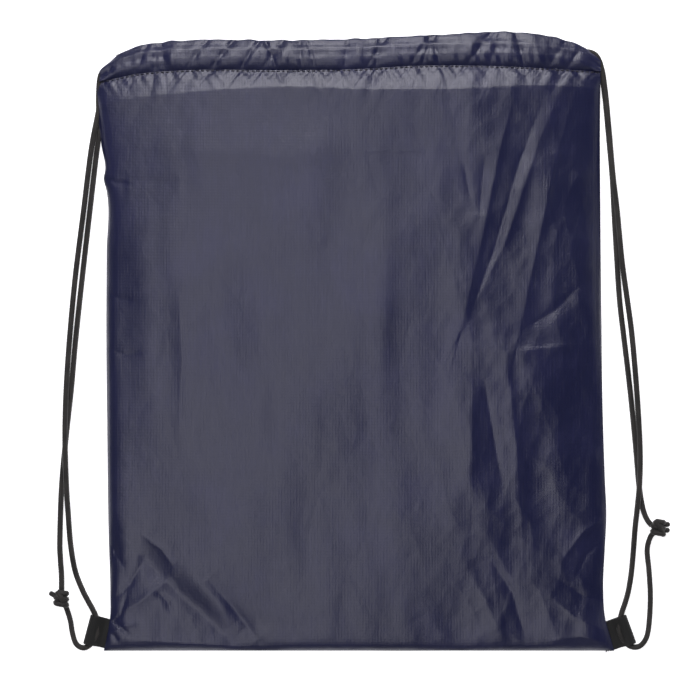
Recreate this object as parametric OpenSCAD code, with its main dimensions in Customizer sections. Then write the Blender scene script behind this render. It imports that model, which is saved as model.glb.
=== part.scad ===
// Drawstring backpack: a flat cloth bag with a cord channel along each side of the mouth, a webbing
// tab at each bottom corner, and two cords that close the mouth and serve as shoulder straps.
// The bag lies on its back, mouth towards +Y, with the floor at Z = 0.

/* [Bag] */
// Length from the bottom fold to the top of the hems
bag_length = 420; // [414:1:426]
// Thickness of the cloth panels
cloth = 1; // [0.6:0.1:1.2]
// Height of the gap between the hems at the middle of the mouth
mouth_gap = 5.6; // [4.6:0.1:8]
// Height of the front panel's crown above its side edges
crown = 15; // [12:0.5:18]
// Width of the turned-in side seams
seam_width = 8; // [5:1:12]

/* [Hems] */
// Thickness of each hem
hem_thickness = 6.2; // [6:0.1:6.6]
// Thickness of the folded cloth around each channel
hem_wall = 0.8; // [0.5:0.1:0.9]

/* [Cords] */
// Diameter of the cords
cord_d = 4; // [3.4:0.1:4]
// Distance from the middle of a channel to each of the two cords in it
run_offset = 3.5; // [3.2:0.1:3.6]
// Diameter of the knots
knot_d = 11.2; // [10:0.1:11.4]

/* [Tabs] */
// Width of the webbing
tab_width = 19; // [15:1:19]
// Thickness of one layer of webbing
webbing = 1.2; // [0.8:0.1:1.2]

/* [Stitching] */
// Distance from one stitch to the next
stitch_pitch = 4; // [3.5:0.5:8]
// Length of one stitch
stitch_length = 2.6; // [1:0.1:3]
// Thickness of the thread
thread = 0.4; // [0.3:0.05:0.45]

/* [Hidden] */

navy = [0.14, 0.14, 0.22];
black = [0.12, 0.11, 0.10];
thread_navy = [0.06, 0.06, 0.12];

// Outline of the bag in plan
bottom_y = -bag_length / 2;
panel_top_left = -171;
panel_bottom_left = -169.5;
panel_top_right = 161.5;
panel_bottom_right = 166.6;
panel_side_top = 182;

// Channels: the middle line and half width of the hems, by X, as (x, value)
hem_left = -164;
hem_right = 152;
HEM_MIDDLE = [
    [-164, 190.5], [-150, 193], [-120, 194.5], [0, 195],
    [60, 197.5], [110, 199], [135, 197.5], [152, 193.5]
];
HEM_HALF = [[-164, 6.5], [-150, 9], [-120, 10], [0, 10.2], [110, 11], [135, 9.5], [152, 6.5]];
hem_stations = 18;
hem_sides = 20;
hem_gap_at_ends = 0.4;

// Heights
back_hem_z = hem_thickness / 2;
front_hem_end_z = hem_thickness * 1.5 + hem_gap_at_ends;
front_hem_rise = mouth_gap - hem_gap_at_ends;
seam_thickness = 0.9;
edge_clearance = 0.4;
panel_edge_z = cloth + seam_thickness + thread + edge_clearance + cloth / 2;
panel_below_hem = 0.6;
fold_gap = 1.2;
fold_r = (cloth + fold_gap) / 2;

// Front panel's mesh, counted in cells
panel_across = 22;
panel_along = 26;
panel_bottom_y = bottom_y + 1.9;

// Front panel's shape: how flat its arch is across, how soon it reaches the crown, how late it meets
// the hem, the gap under the hem, and the rise of its top edge
arch_power = 4;
crown_power = 3;
lift_power = 8;
panel_top_gap = 0.4;
panel_top_rise = 2.4;
panel_top_margin = 0.6;

// Back panel: how far it passes the front one, and its top edge's two inner corners
back_overhang = 1;
back_top_right = [140, panel_side_top + 4];
back_top_left = [-130, panel_side_top];

// Side seams: distance in from the edge, and short of the bag at each end
seam_inset = 0.5;
seam_end_gap = 3;

// Stitch rows: along the sides, under the hems and across the tabs' roots
side_row_margin = 6;
side_row_inset = 2.5;
hem_row_start = 5;
hem_row_margins = 8;
hem_row_drop = 1.2;
hem_row_lift = 0.15;
tab_rows = 3;
tab_row_gap = 1.5;
tab_row_inset = 4;
tab_row_count = 6;
tab_row_half = 8;
tab_stitch_pitch = 3;
tab_stitch_length = 2;

// Facets on round shapes
round_sides = 48;
small_round_sides = 32;

// Tabs: the middle of the cord in the loop, the tilt of the loop and the distance in to its root
left_tab_at = [-182.2, -195.4];
left_tab_tilt = -14.7;
right_tab_at = [181.4, -195.4];
right_tab_tilt = 20;
tab_bore_r = 2.4;
tab_straight = 5.2;
tab_reach = 8.4;
tab_root_gap = 0.6;
tab_shoulder = 1;
tab_z = tab_bore_r + webbing;

// Cords
cord_r = cord_d / 2;
cord_sides = 8;
run_stations = 12;
joint_gap = 0.5;

// Free strands. Upper strands come out of the front channel, pass over the lower ones, go through the
// tab and turn up to the knot. Lower strands come out of the back channel and go straight to the knot.
LEFT_UPPER = [
    [-177.4, 157.2, 6], [-182.6, 131, 4.3], [-188.2, 88, 2.8], [-193.8, 44, 2.1], [-197.4, 3, 3.4],
    [-199.4, -31, 5.1], [-200.1, -64, 6.2], [-199.4, -96, 5], [-198.4, -116, 3.2], [-196.9, -137, 2.1],
    [-193.8, -155, 2], [-188.9, -168, 2.1], [-185.3, -175, 2.5], [-181.6, -181.5, 3.1], [-179.2, -187, 3.6],
    [-178.6, -193, 3.6], [-179.4, -199, 3.6], [-182.6, -204.4, 3.6], [-187.6, -207.4, 3.4], [-192.8, -205, 2.7],
    [-195.5, -198, 2.1], [-197, -189, 2.2], [-199.4, -180.5, 3.6], [-201, -177, 4.8]
];
LEFT_LOWER = [
    [-175.4, 157.2, 2], [-179, 131, 2], [-184, 88, 2], [-189, 44, 2], [-193.4, 3, 2],
    [-196.4, -31, 2], [-200, -64, 2], [-203, -98, 2], [-204.2, -134, 2], [-203.8, -147, 2.3],
    [-202.9, -158, 3.3], [-202.6, -168.5, 5]
];
RIGHT_UPPER = [
    [167.4, 164.4, 6.2], [169.8, 138, 6.1], [172, 113, 6.1], [174.8, 90, 5.7], [178.2, 56, 4.9],
    [182, 29, 4], [185, 7, 3.6], [187.6, -22, 4], [189.4, -50, 5.1], [190.4, -76, 5.9],
    [189.9, -96, 6.2], [188.6, -112, 5.2], [187.3, -126, 3.5], [186.3, -142, 2.2], [184.9, -157, 2],
    [182.9, -169, 2.2], [180.6, -177, 2.7], [178.3, -183.5, 3.3], [176.9, -189.5, 3.6], [176.9, -195.5, 3.6],
    [179.4, -201.8, 3.6], [184.4, -206.4, 3.6], [190.6, -206.2, 3.1], [195.4, -200, 2.3], [197.3, -188, 2],
    [197.9, -171, 2], [196.9, -154, 2], [195.7, -141, 2.4], [197.4, -132.5, 3.8], [200.2, -128.6, 4.9]
];
RIGHT_LOWER = [
    [167.4, 164.4, 2], [169.8, 138, 2], [172, 113, 2], [173.2, 90, 2], [175.2, 56, 2],
    [177, 29, 2], [179.5, 7, 2], [183, -22, 2], [186, -50, 2], [188.4, -76, 2],
    [190.1, -96, 2], [192.6, -112, 2.4], [195.4, -120, 3.4], [198.6, -124.2, 4.7]
];

// Exits: from each channel's end round to the start of the free strands
LEFT_FRONT_EXIT = [
    [-164.8, 187, 9.7], [-168, 187.1, 9.7], [-171.6, 186, 9.6], [-174.4, 183.4, 9.4], [-176, 179.6, 9],
    [-176.8, 174, 8.2], [-177.2, 166, 7], [-177.3, 158.8, 6.2]
];
LEFT_BACK_EXIT = [
    [-164.5, 187, 3.1], [-168, 187.1, 3], [-171.6, 186, 2.8], [-174.2, 183.4, 2.5], [-175.2, 179.6, 2.2],
    [-175.3, 174, 2], [-175.3, 166, 2], [-175.3, 158.8, 2]
];
RIGHT_FRONT_EXIT = [
    [152.9, 197, 9.7], [156, 196.8, 9.7], [159.6, 195, 9.5], [162, 191.6, 9.1], [163.7, 187, 8.5],
    [165, 181.6, 7.8], [166.2, 174, 6.9], [167.2, 166, 6.3]
];
RIGHT_BACK_EXIT = [
    [152.6, 197, 3.1], [156, 196.8, 3.1], [159.6, 195, 2.9], [162, 191.6, 2.6], [163.7, 187, 2.3],
    [165, 181.6, 2.1], [166.2, 174, 2], [167.2, 166, 2]
];

left_knot_at = [-202.6, -173.4, 5.8];
right_knot_at = [202.5, -125.3, 5.8];
knot_wrap_r = 2.5;
knot_wrap_spacing = 4.6;
knot_core_rim = 1.9;
cut_end_r = 1.7;
cut_end_start = 4.2;
cut_ends_apart = 1.9;

// Position from 0 to 1 along the range a to b
function share(v, a, b) = min(1, max(0, (v - a) / (b - a)));
function unit(v) = v / norm(v);
function signed_root(v) = sign(v) * sqrt(abs(v));

// Left and right edges of the front panel at height y in plan
function left_edge(y) = lookup(y, [[bottom_y, panel_bottom_left], [panel_side_top, panel_top_left]]);
function right_edge(y) = lookup(y, [[bottom_y, panel_bottom_right], [panel_side_top, panel_top_right]]);

// Arch from 0 at both ends of a span to 1 over most of it
function arch(share_across) = 1 - pow(abs(2 * share_across - 1), arch_power);

function hem_y(x) = lookup(x, HEM_MIDDLE);
function hem_half(x) = lookup(x, HEM_HALF);
function front_hem_z(x) = front_hem_end_z + front_hem_rise * arch(share(x, hem_left, hem_right));

// Height of the middle of the front panel's cloth, by share across and share along
function panel_z(across, along) =
    let (
        lift = pow(along, lift_power),
        edge = panel_edge_z + (front_hem_end_z - panel_below_hem - panel_edge_z) * lift
    )
    edge + arch(across) * (crown * (1 - pow(1 - along, crown_power)) - (crown - front_hem_rise) * lift);

function panel_top(across) =
    let (
        x = panel_top_left + across * (panel_top_right - panel_top_left),
        at = min(hem_right, max(hem_left, x)),
        below_hem = hem_y(at) - hem_half(at) - panel_top_gap
    )
    min(below_hem, panel_side_top + panel_top_rise * arch(across) + panel_top_margin);

function panel_point(i, j, side) =
    let (
        across = i / panel_across,
        along = j / panel_along,
        y = panel_bottom_y + along * (panel_top(across) - panel_bottom_y),
        x = left_edge(y) + across * (right_edge(y) - left_edge(y))
    )
    [x, y, panel_z(across, along) + side * cloth / 2];

// Index of a point in the front panel's mesh: side 0 is the upper face, side 1 the lower
function panel_index(i, j, side) = (side * (panel_along + 1) + j) * (panel_across + 1) + i;

// Cross-section of a hem, as a loop of points round its middle
function hem_loop(x, z, shrink) = [
    for (k = [0 : hem_sides - 1]) let (a = 360 * k / hem_sides) [
        x,
        hem_y(x) + (hem_half(x) - shrink) * signed_root(cos(a)),
        z + (hem_thickness / 2 - shrink) * signed_root(sin(a))
    ]
];

function heading(path, i) = unit(path[min(i + 1, len(path) - 1)] - path[max(i - 1, 0)]);
function cord_ring(p, d) =
    let (side = unit(cross(d, [0, 0, 1])), up = cross(side, d))
    [for (k = [0 : cord_sides - 1]) let (a = 360 * (k + 0.5) / cord_sides)
        p + cord_r * (cos(a) * side + sin(a) * up)];

// Quads between neighbouring loops of n points, for a tube of the given count of loops
function tube_walls(loops, n, start = 0) = [
    for (i = [0 : loops - 2]) for (j = [0 : n - 1])
        let (near = start + i * n, next = (j + 1) % n)
        [near + j, near + next, near + n + next, near + n + j]
];
function flipped(faces) = [for (f = faces) [for (k = [len(f) - 1 : -1 : 0]) f[k]]];

module cord(path) {
    n = cord_sides;
    last = len(path) - 1;
    color(black) polyhedron(
        points = [for (i = [0 : last]) each cord_ring(path[i], heading(path, i))],
        faces = concat(
            flipped(tube_walls(last + 1, n)),
            [[for (j = [0 : n - 1]) j], [for (j = [n - 1 : -1 : 0]) last * n + j]]
        )
    );
}

// Cord inside a channel, beside the channel's middle line
module cord_run(z_rise, offset) {
    cord([for (i = [0 : run_stations])
        let (x = hem_left + (hem_right - hem_left) * i / run_stations)
        [x, hem_y(x) + offset, z_rise ? front_hem_z(x) : back_hem_z]]);
}

// Half turn of a cord from the back channel up into the front one
module cord_bight(x, y, turn) {
    middle_z = (back_hem_z + front_hem_end_z) / 2;
    color(black) translate([x, y, middle_z]) rotate([90, 0, 0]) rotate([0, 0, turn])
        rotate_extrude(angle = 180, $fn = round_sides)
            translate([(front_hem_end_z - back_hem_z) / 2, 0]) circle(r = cord_r, $fn = small_round_sides);
}

// Hollow flattened tube of cloth along the mouth
module hem(front) {
    n = hem_sides;
    xs = [for (i = [0 : hem_stations]) hem_left + (hem_right - hem_left) * i / hem_stations];
    outer = [for (x = xs) each hem_loop(x, front ? front_hem_z(x) : back_hem_z, 0)];
    inner = [for (x = xs) each hem_loop(x, front ? front_hem_z(x) : back_hem_z, hem_wall)];
    first_inner = len(outer);
    last_loop = hem_stations * n;
    last_inner = first_inner + last_loop;
    ends = [for (j = [0 : n - 1]) let (next = (j + 1) % n) each [
        [j, next, first_inner + next, first_inner + j],
        [last_loop + next, last_loop + j, last_inner + j, last_inner + next]
    ]];
    color(navy) polyhedron(
        points = concat(outer, inner),
        faces = concat(
            flipped(tube_walls(hem_stations + 1, n)),
            tube_walls(hem_stations + 1, n, first_inner),
            ends
        )
    );
}

module back_panel() {
    color(navy) {
        linear_extrude(cloth) polygon([
            [panel_bottom_left - back_overhang, bottom_y + fold_r],
            [panel_bottom_right + back_overhang, bottom_y + fold_r],
            [panel_top_right, panel_side_top], back_top_right, back_top_left,
            [panel_top_left, panel_side_top - back_overhang]
        ]);
        translate([panel_bottom_left - back_overhang, bottom_y + fold_r, fold_r]) rotate([0, 90, 0])
            cylinder(
                r = fold_r,
                h = panel_bottom_right - panel_bottom_left + 2 * back_overhang,
                $fn = small_round_sides
            );
    }
}

module front_panel() {
    top_and_bottom = [for (j = [0 : panel_along - 1]) for (i = [0 : panel_across - 1]) each [
        [
            panel_index(i, j, 0), panel_index(i, j + 1, 0),
            panel_index(i + 1, j + 1, 0), panel_index(i + 1, j, 0)
        ],
        [
            panel_index(i, j, 1), panel_index(i + 1, j, 1),
            panel_index(i + 1, j + 1, 1), panel_index(i, j + 1, 1)
        ]
    ]];
    last_i = panel_across;
    last_j = panel_along;
    side_edges = [for (j = [0 : last_j - 1]) each [
        [panel_index(0, j, 0), panel_index(0, j, 1), panel_index(0, j + 1, 1), panel_index(0, j + 1, 0)],
        [
            panel_index(last_i, j, 0), panel_index(last_i, j + 1, 0),
            panel_index(last_i, j + 1, 1), panel_index(last_i, j, 1)
        ]
    ]];
    end_edges = [for (i = [0 : last_i - 1]) each [
        [panel_index(i, 0, 0), panel_index(i + 1, 0, 0), panel_index(i + 1, 0, 1), panel_index(i, 0, 1)],
        [
            panel_index(i, last_j, 0), panel_index(i, last_j, 1),
            panel_index(i + 1, last_j, 1), panel_index(i + 1, last_j, 0)
        ]
    ]];
    color(navy) polyhedron(
        points = [for (side = [1, -1]) for (j = [0 : last_j]) for (i = [0 : last_i]) panel_point(i, j, side)],
        faces = concat(top_and_bottom, side_edges, end_edges)
    );
}

// Seam allowance along one side edge; inward is 1 on the left and -1 on the right
module side_seam(edge_bottom, edge_top, inward) {
    near = seam_inset * inward;
    far = (seam_inset + seam_width) * inward;
    color(navy) translate([0, 0, cloth]) linear_extrude(seam_thickness) polygon([
        [edge_bottom + near, bottom_y + seam_end_gap], [edge_bottom + far, bottom_y + seam_end_gap],
        [edge_top + far, panel_side_top - seam_end_gap], [edge_top + near, panel_side_top - seam_end_gap]
    ]);
}

// Row of stitches along one side seam
module side_stitching(edge_bottom, edge_top, inward) {
    count = floor((panel_side_top - bottom_y - 2 * side_row_margin) / stitch_pitch);
    for (i = [0 : count - 1]) {
        y = bottom_y + side_row_margin + i * stitch_pitch;
        x = lookup(y, [[bottom_y, edge_bottom], [panel_side_top, edge_top]]) + side_row_inset * inward;
        stitch([x, y, cloth + seam_thickness], [thread, stitch_length]);
    }
}

// One stitch standing on the point p, with its plan size
module stitch(p, size) {
    color(thread_navy) translate([p[0] - size[0] / 2, p[1] - size[1] / 2, p[2]])
        cube([size[0], size[1], thread]);
}

// Row of stitches under a hem
module hem_stitching(front) {
    count = floor((hem_right - hem_left - hem_row_margins) / stitch_pitch);
    for (i = [0 : count - 1]) {
        x = hem_left + hem_row_start + i * stitch_pitch;
        across = share(x, panel_top_left, panel_top_right);
        y = panel_top(across) - hem_row_drop;
        along = share(y, panel_bottom_y, panel_top(across));
        z = front ? panel_z(across, along) + cloth / 2 + hem_row_lift : cloth;
        stitch([x, y, z], [stitch_length, thread]);
    }
}

// Webbing folded round the cord and sewn into the seam; side is -1 on the left and 1 on the right
module tab(at, tilt, side) {
    low = -tab_z;
    high = tab_z;
    root_high = low + 2 * webbing + tab_root_gap;
    color(black) translate([at[0], at[1], tab_z]) rotate([0, 0, tilt]) turned_inwards(side)
        rotate([90, 0, 0]) translate([0, 0, -tab_width / 2]) linear_extrude(tab_width) difference() {
            union() {
                circle(r = tab_z, $fn = round_sides);
                polygon([
                    [0, low], [tab_reach, low], [tab_reach, root_high],
                    [tab_straight + tab_shoulder, high], [0, high]
                ]);
            }
            circle(r = tab_bore_r, $fn = round_sides);
            polygon([
                [0, low + webbing], [tab_reach + tab_shoulder, low + webbing],
                [tab_reach + tab_shoulder, root_high - webbing],
                [tab_reach, root_high - webbing], [tab_straight, high - webbing], [0, high - webbing]
            ]);
        }
}

// Mirror across X for the right side, so that the tab's root points inwards
module turned_inwards(side) {
    mirror([side > 0 ? 1 : 0, 0, 0]) children();
}

// Rows of stitches across the root of a tab, inside the seam
module tab_stitching(at, edge, inward) {
    for (row = [0 : tab_rows - 1]) for (i = [0 : tab_row_count - 1]) {
        x = edge + (tab_row_inset + row * tab_row_gap) * inward;
        y = at[1] - tab_row_half + i * tab_stitch_pitch;
        stitch([x, y, cloth + seam_thickness], [thread, tab_stitch_length]);
    }
}

// Knot of two wraps round a core, lying along Y
module knot(at) {
    color(black) translate(at) rotate([90, 0, 0]) rotate_extrude($fn = round_sides) {
        for (s = [-1, 1]) translate([knot_d / 2 - knot_wrap_r, s * knot_wrap_spacing / 2])
            circle(r = knot_wrap_r, $fn = small_round_sides);
        translate([0, -knot_wrap_spacing / 2 - knot_core_rim])
            square([knot_d / 2 - knot_wrap_r, knot_wrap_spacing + 2 * knot_core_rim]);
    }
}

// One cut end of a cord, pointing away from the knot in plan
module cut_end(at, turn, length) {
    color(black) translate(at) rotate([0, 0, turn]) rotate([0, 90, 0])
        translate([0, 0, cut_end_start]) cylinder(r = cut_end_r, h = length, $fn = small_round_sides);
}

module back_hem() { hem(false); }
module front_hem() { hem(true); }
module left_side_seam() { side_seam(panel_bottom_left, panel_top_left, 1); }
module right_side_seam() { side_seam(panel_bottom_right, panel_top_right, -1); }
module left_side_stitching() { side_stitching(panel_bottom_left, panel_top_left, 1); }
module right_side_stitching() { side_stitching(panel_bottom_right, panel_top_right, -1); }
module back_hem_stitching() { hem_stitching(false); }
module front_hem_stitching() { hem_stitching(true); }
module left_tab() { tab(left_tab_at, left_tab_tilt, -1); }
module right_tab() { tab(right_tab_at, right_tab_tilt, 1); }
module left_tab_stitching() { tab_stitching(left_tab_at, panel_bottom_left, 1); }
module right_tab_stitching() { tab_stitching(right_tab_at, panel_bottom_right, -1); }
module left_cord_back_run() { cord_run(false, -run_offset); }
module left_cord_front_run() { cord_run(true, -run_offset); }
module left_cord_bight() { cord_bight(hem_right + joint_gap, hem_y(hem_right) - run_offset, -90); }
module left_cord_back_exit() { cord(LEFT_BACK_EXIT); }
module left_cord_front_exit() { cord(LEFT_FRONT_EXIT); }
module right_cord_back_run() { cord_run(false, run_offset); }
module right_cord_front_run() { cord_run(true, run_offset); }
module right_cord_bight() { cord_bight(hem_left - joint_gap, hem_y(hem_left) + run_offset, 90); }
module right_cord_back_exit() { cord(RIGHT_BACK_EXIT); }
module right_cord_front_exit() { cord(RIGHT_FRONT_EXIT); }
module left_upper_strand() { cord(LEFT_UPPER); }
module left_lower_strand() { cord(LEFT_LOWER); }
module left_knot() { knot(left_knot_at); }
module left_cord_ends() {
    cut_end(left_knot_at + [0, 0, cut_ends_apart], 152, 3.4);
    cut_end(left_knot_at - [0, 0, cut_ends_apart], 160, 2.6);
}
module right_upper_strand() { cord(RIGHT_UPPER); }
module right_lower_strand() { cord(RIGHT_LOWER); }
module right_knot() { knot(right_knot_at); }
module right_cord_ends() {
    cut_end(right_knot_at + [0, cut_ends_apart, 0], 4, 3.6);
    cut_end(right_knot_at - [0, cut_ends_apart, 0], -4, 3.6);
}

back_panel();
front_panel();
back_hem();
front_hem();
left_side_seam();
right_side_seam();
left_side_stitching();
right_side_stitching();
back_hem_stitching();
front_hem_stitching();
left_tab();
right_tab();
left_tab_stitching();
right_tab_stitching();
left_cord_back_run();
left_cord_front_run();
left_cord_bight();
left_cord_back_exit();
left_cord_front_exit();
right_cord_back_run();
right_cord_front_run();
right_cord_bight();
right_cord_back_exit();
right_cord_front_exit();
left_upper_strand();
left_lower_strand();
left_knot();
left_cord_ends();
right_upper_strand();
right_lower_strand();
right_knot();
right_cord_ends();
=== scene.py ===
"""Drawstring backpack, lying on its back: cloth, hems, stitching, webbing tabs, braided cords and knots."""

import math

import bpy
import numpy as np
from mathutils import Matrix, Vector


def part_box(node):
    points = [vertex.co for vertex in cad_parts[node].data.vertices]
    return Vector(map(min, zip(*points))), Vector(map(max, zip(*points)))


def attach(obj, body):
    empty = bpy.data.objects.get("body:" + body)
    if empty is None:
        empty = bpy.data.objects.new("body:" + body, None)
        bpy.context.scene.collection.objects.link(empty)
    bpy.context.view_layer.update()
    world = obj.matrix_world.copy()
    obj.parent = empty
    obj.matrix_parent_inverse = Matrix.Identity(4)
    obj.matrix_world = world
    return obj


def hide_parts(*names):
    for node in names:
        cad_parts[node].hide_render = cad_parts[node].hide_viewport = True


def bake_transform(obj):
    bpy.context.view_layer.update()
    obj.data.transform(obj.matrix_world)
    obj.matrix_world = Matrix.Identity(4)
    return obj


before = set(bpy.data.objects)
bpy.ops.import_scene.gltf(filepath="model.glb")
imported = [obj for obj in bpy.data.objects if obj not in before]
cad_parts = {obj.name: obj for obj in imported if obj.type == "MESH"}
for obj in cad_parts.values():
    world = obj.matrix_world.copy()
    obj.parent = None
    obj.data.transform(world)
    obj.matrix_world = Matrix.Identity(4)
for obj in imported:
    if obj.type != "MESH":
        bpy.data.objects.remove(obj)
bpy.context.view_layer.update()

# Everything below is worked out in millimetres and turned into metres when a mesh is made.
MM = 0.001
CORD_R = 2.05
KNOT_CORD_R = 2.0
CUT_END_R = 1.9
CLOTH = 0.35
SEAM_CLOTH = 0.5
WEBBING = 1.0
# Distance of the two cords from the middle line of a hem, and the radius of the cloth that covers one
RUN_OFFSET = 3.5
COVER_R = CORD_R + CLOTH + 0.15
# The cords inside the hems reach from and to these places. Those in the back hem lie at this height.
RUN_LEFT = -163
RUN_RIGHT = 151
BACK_RUN_Z = 3.1
STITCH_PITCH = 3.4
STITCH_LENGTH = 2.6
STITCH_R = 0.42
SEED = 7

# Free strands, as laid in the CAD model. The upper one of a side goes through the tab, to the knot.
LEFT_UPPER = [
    (-177.4, 157.2, 6), (-182.6, 131, 4.3), (-188.2, 88, 2.8), (-193.8, 44, 2.1), (-197.4, 3, 3.4),
    (-199.4, -31, 5.1), (-200.1, -64, 6.2), (-199.4, -96, 5), (-198.4, -116, 3.2), (-196.9, -137, 2.1),
    (-193.8, -155, 2), (-188.9, -168, 2.1), (-185.3, -175, 2.5), (-181.6, -181.5, 3.1), (-179.2, -187, 3.6),
    (-178.6, -193, 3.6), (-179.4, -199, 3.6), (-182.6, -204.4, 3.6), (-187.6, -207.4, 3.4),
    (-192.8, -205, 2.7), (-195.5, -198, 2.1), (-197, -189, 2.2), (-199.4, -180.5, 3.6), (-201, -177, 4.8),
]
LEFT_LOWER = [
    (-175.4, 157.2, 2), (-179, 131, 2), (-184, 88, 2), (-189, 44, 2), (-193.4, 3, 2),
    (-196.4, -31, 2), (-200, -64, 2), (-203, -98, 2), (-204.2, -134, 2), (-203.8, -147, 2.3),
    (-202.9, -158, 3.3), (-202.6, -168.5, 5),
]
RIGHT_UPPER = [
    (167.4, 164.4, 6.2), (169.8, 138, 6.1), (172, 113, 6.1), (174.8, 90, 5.7), (178.2, 56, 4.9),
    (182, 29, 4), (185, 7, 3.6), (187.6, -22, 4), (189.4, -50, 5.1), (190.4, -76, 5.9),
    (189.9, -96, 6.2), (188.6, -112, 5.2), (187.3, -126, 3.5), (186.3, -142, 2.2), (184.9, -157, 2),
    (182.9, -169, 2.2), (180.6, -177, 2.7), (178.3, -183.5, 3.3), (176.9, -189.5, 3.6), (176.9, -195.5, 3.6),
    (179.4, -201.8, 3.6), (184.4, -206.4, 3.6), (190.6, -206.2, 3.1), (195.4, -200, 2.3), (197.3, -188, 2),
    (197.9, -171, 2), (196.9, -154, 2), (195.7, -141, 2.4), (197.4, -132.5, 3.8), (200.2, -128.6, 4.9),
]
RIGHT_LOWER = [
    (167.4, 164.4, 2), (169.8, 138, 2), (172, 113, 2), (173.2, 90, 2), (175.2, 56, 2),
    (177, 29, 2), (179.5, 7, 2), (183, -22, 2), (186, -50, 2), (188.4, -76, 2),
    (190.1, -96, 2), (192.6, -112, 2.4), (195.4, -120, 3.4), (198.6, -124.2, 4.7),
]
# Exit cords, from a hem's end to the first point of a strand
LEFT_FRONT_EXIT = [
    (-164.8, 187, 9.7), (-168, 187.1, 9.7), (-171.6, 186, 9.6), (-174.4, 183.4, 9.4), (-176, 179.6, 9),
    (-176.8, 174, 8.2), (-177.2, 166, 7), (-177.3, 158.8, 6.2),
]
LEFT_BACK_EXIT = [
    (-164.5, 187, 3.1), (-168, 187.1, 3), (-171.6, 186, 2.8), (-174.2, 183.4, 2.5), (-175.2, 179.6, 2.2),
    (-175.3, 174, 2), (-175.3, 166, 2), (-175.3, 158.8, 2),
]
RIGHT_FRONT_EXIT = [
    (152.9, 197, 9.7), (156, 196.8, 9.7), (159.6, 195, 9.5), (162, 191.6, 9.1), (163.7, 187, 8.5),
    (165, 181.6, 7.8), (166.2, 174, 6.9), (167.2, 166, 6.3),
]
RIGHT_BACK_EXIT = [
    (152.6, 197, 3.1), (156, 196.8, 3.1), (159.6, 195, 2.9), (162, 191.6, 2.6), (163.7, 187, 2.3),
    (165, 181.6, 2.1), (166.2, 174, 2), (167.2, 166, 2),
]

# Centres of the knots, and the cut ends beyond each as (start, stop)
KNOTS = {"left": (-202.6, -173.4, 5.9), "right": (202.5, -125.3, 5.9)}
CUT_ENDS = {
    "left": [((-204.5, -172.4, 7.4), (-210.6, -169.6, 6.2)), ((-204.5, -173, 4.2), (-208.6, -171.8, 2.4))],
    "right": [((205, -123.6, 5.9), (210.6, -123.2, 4.6)), ((205, -127, 5.9), (210.4, -127.4, 4.6))],
}

# Where the cord runs through the fold of each tab, with the tab's turn in degrees
TABS = {"left": ((-182.2, -195.4), -14.7), "right": ((181.4, -195.4), 20)}
TAB_Z = 3.6

# Outline of the bag in plan. The sides are (y, x) points, the stitch line and the hem's top (x, y) points.
LEFT_SIDE = [(-210, -174.4), (-203, -172.6), (-190, -170.2), (-170, -169.9), (-130, -171), (-60, -172),
             (0, -172.6), (60, -172.4), (104, -172.4), (112, -174.2), (118, -173.2), (134, -175.6),
             (156, -177.6), (172, -178), (180, -176)]
RIGHT_SIDE = [(-210, 173.4), (-203, 171.4), (-190, 167.6), (-168, 165.9), (-140, 167), (-118, 168),
              (-92, 167), (-40, 165.4), (20, 164.6), (80, 164), (140, 163.4), (190, 163)]
STITCH_LINE = [(-178, 176.5), (-168, 178.5), (-149, 182), (-119, 184), (-54, 184), (-7, 184.5), (41, 187),
               (82, 187), (136, 185), (164, 183.5)]
HEM_TOP = [(-178, 181), (-174.5, 185), (-166, 193), (-156, 198.6), (-143, 202), (-122, 204), (-51, 204.2),
           (-7, 205), (55, 208), (109, 209.6), (136, 205.6), (146, 202.4), (157, 196.6), (162, 191.5),
           (164, 189)]
BOTTOM_Y = -209.6
PANEL_MIDDLE_X = -4.5
HEM_LEFT = -176.0
HEM_RIGHT = 163.0
FRONT_HEM_END_Z = 9.4
FRONT_HEM_RISE = 5.0
FRONT_HEM_HALF = 2.9
BACK_HEM_Z = 3.3
BACK_HEM_HALF = 2.5
EDGE_Z = 1.6

# Front panel: the distances over which it rises from its left edge, its right edge and its fold, its height
# beside the edges, and what is added over the middle, in full from PANEL_RISE_RUN beyond the fold
LEFT_ROLL = 2.6
RIGHT_ROLL = 3.8
FOLD_ROLL = 2.6
SIDE_RISE = 4.2
MIDDLE_RISE = 9.5
PANEL_RISE_RUN = 390

# Roll of cloth below the stitch line: its height, and how far it trails off below. The cloth beside the
# stitches stands MOUTH_RISE above the middle of the hem.
MOUTH_ROLL_HEIGHT = 2.6
MOUTH_ROLL_TAIL = 34
MOUTH_RISE = 1.2

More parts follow.
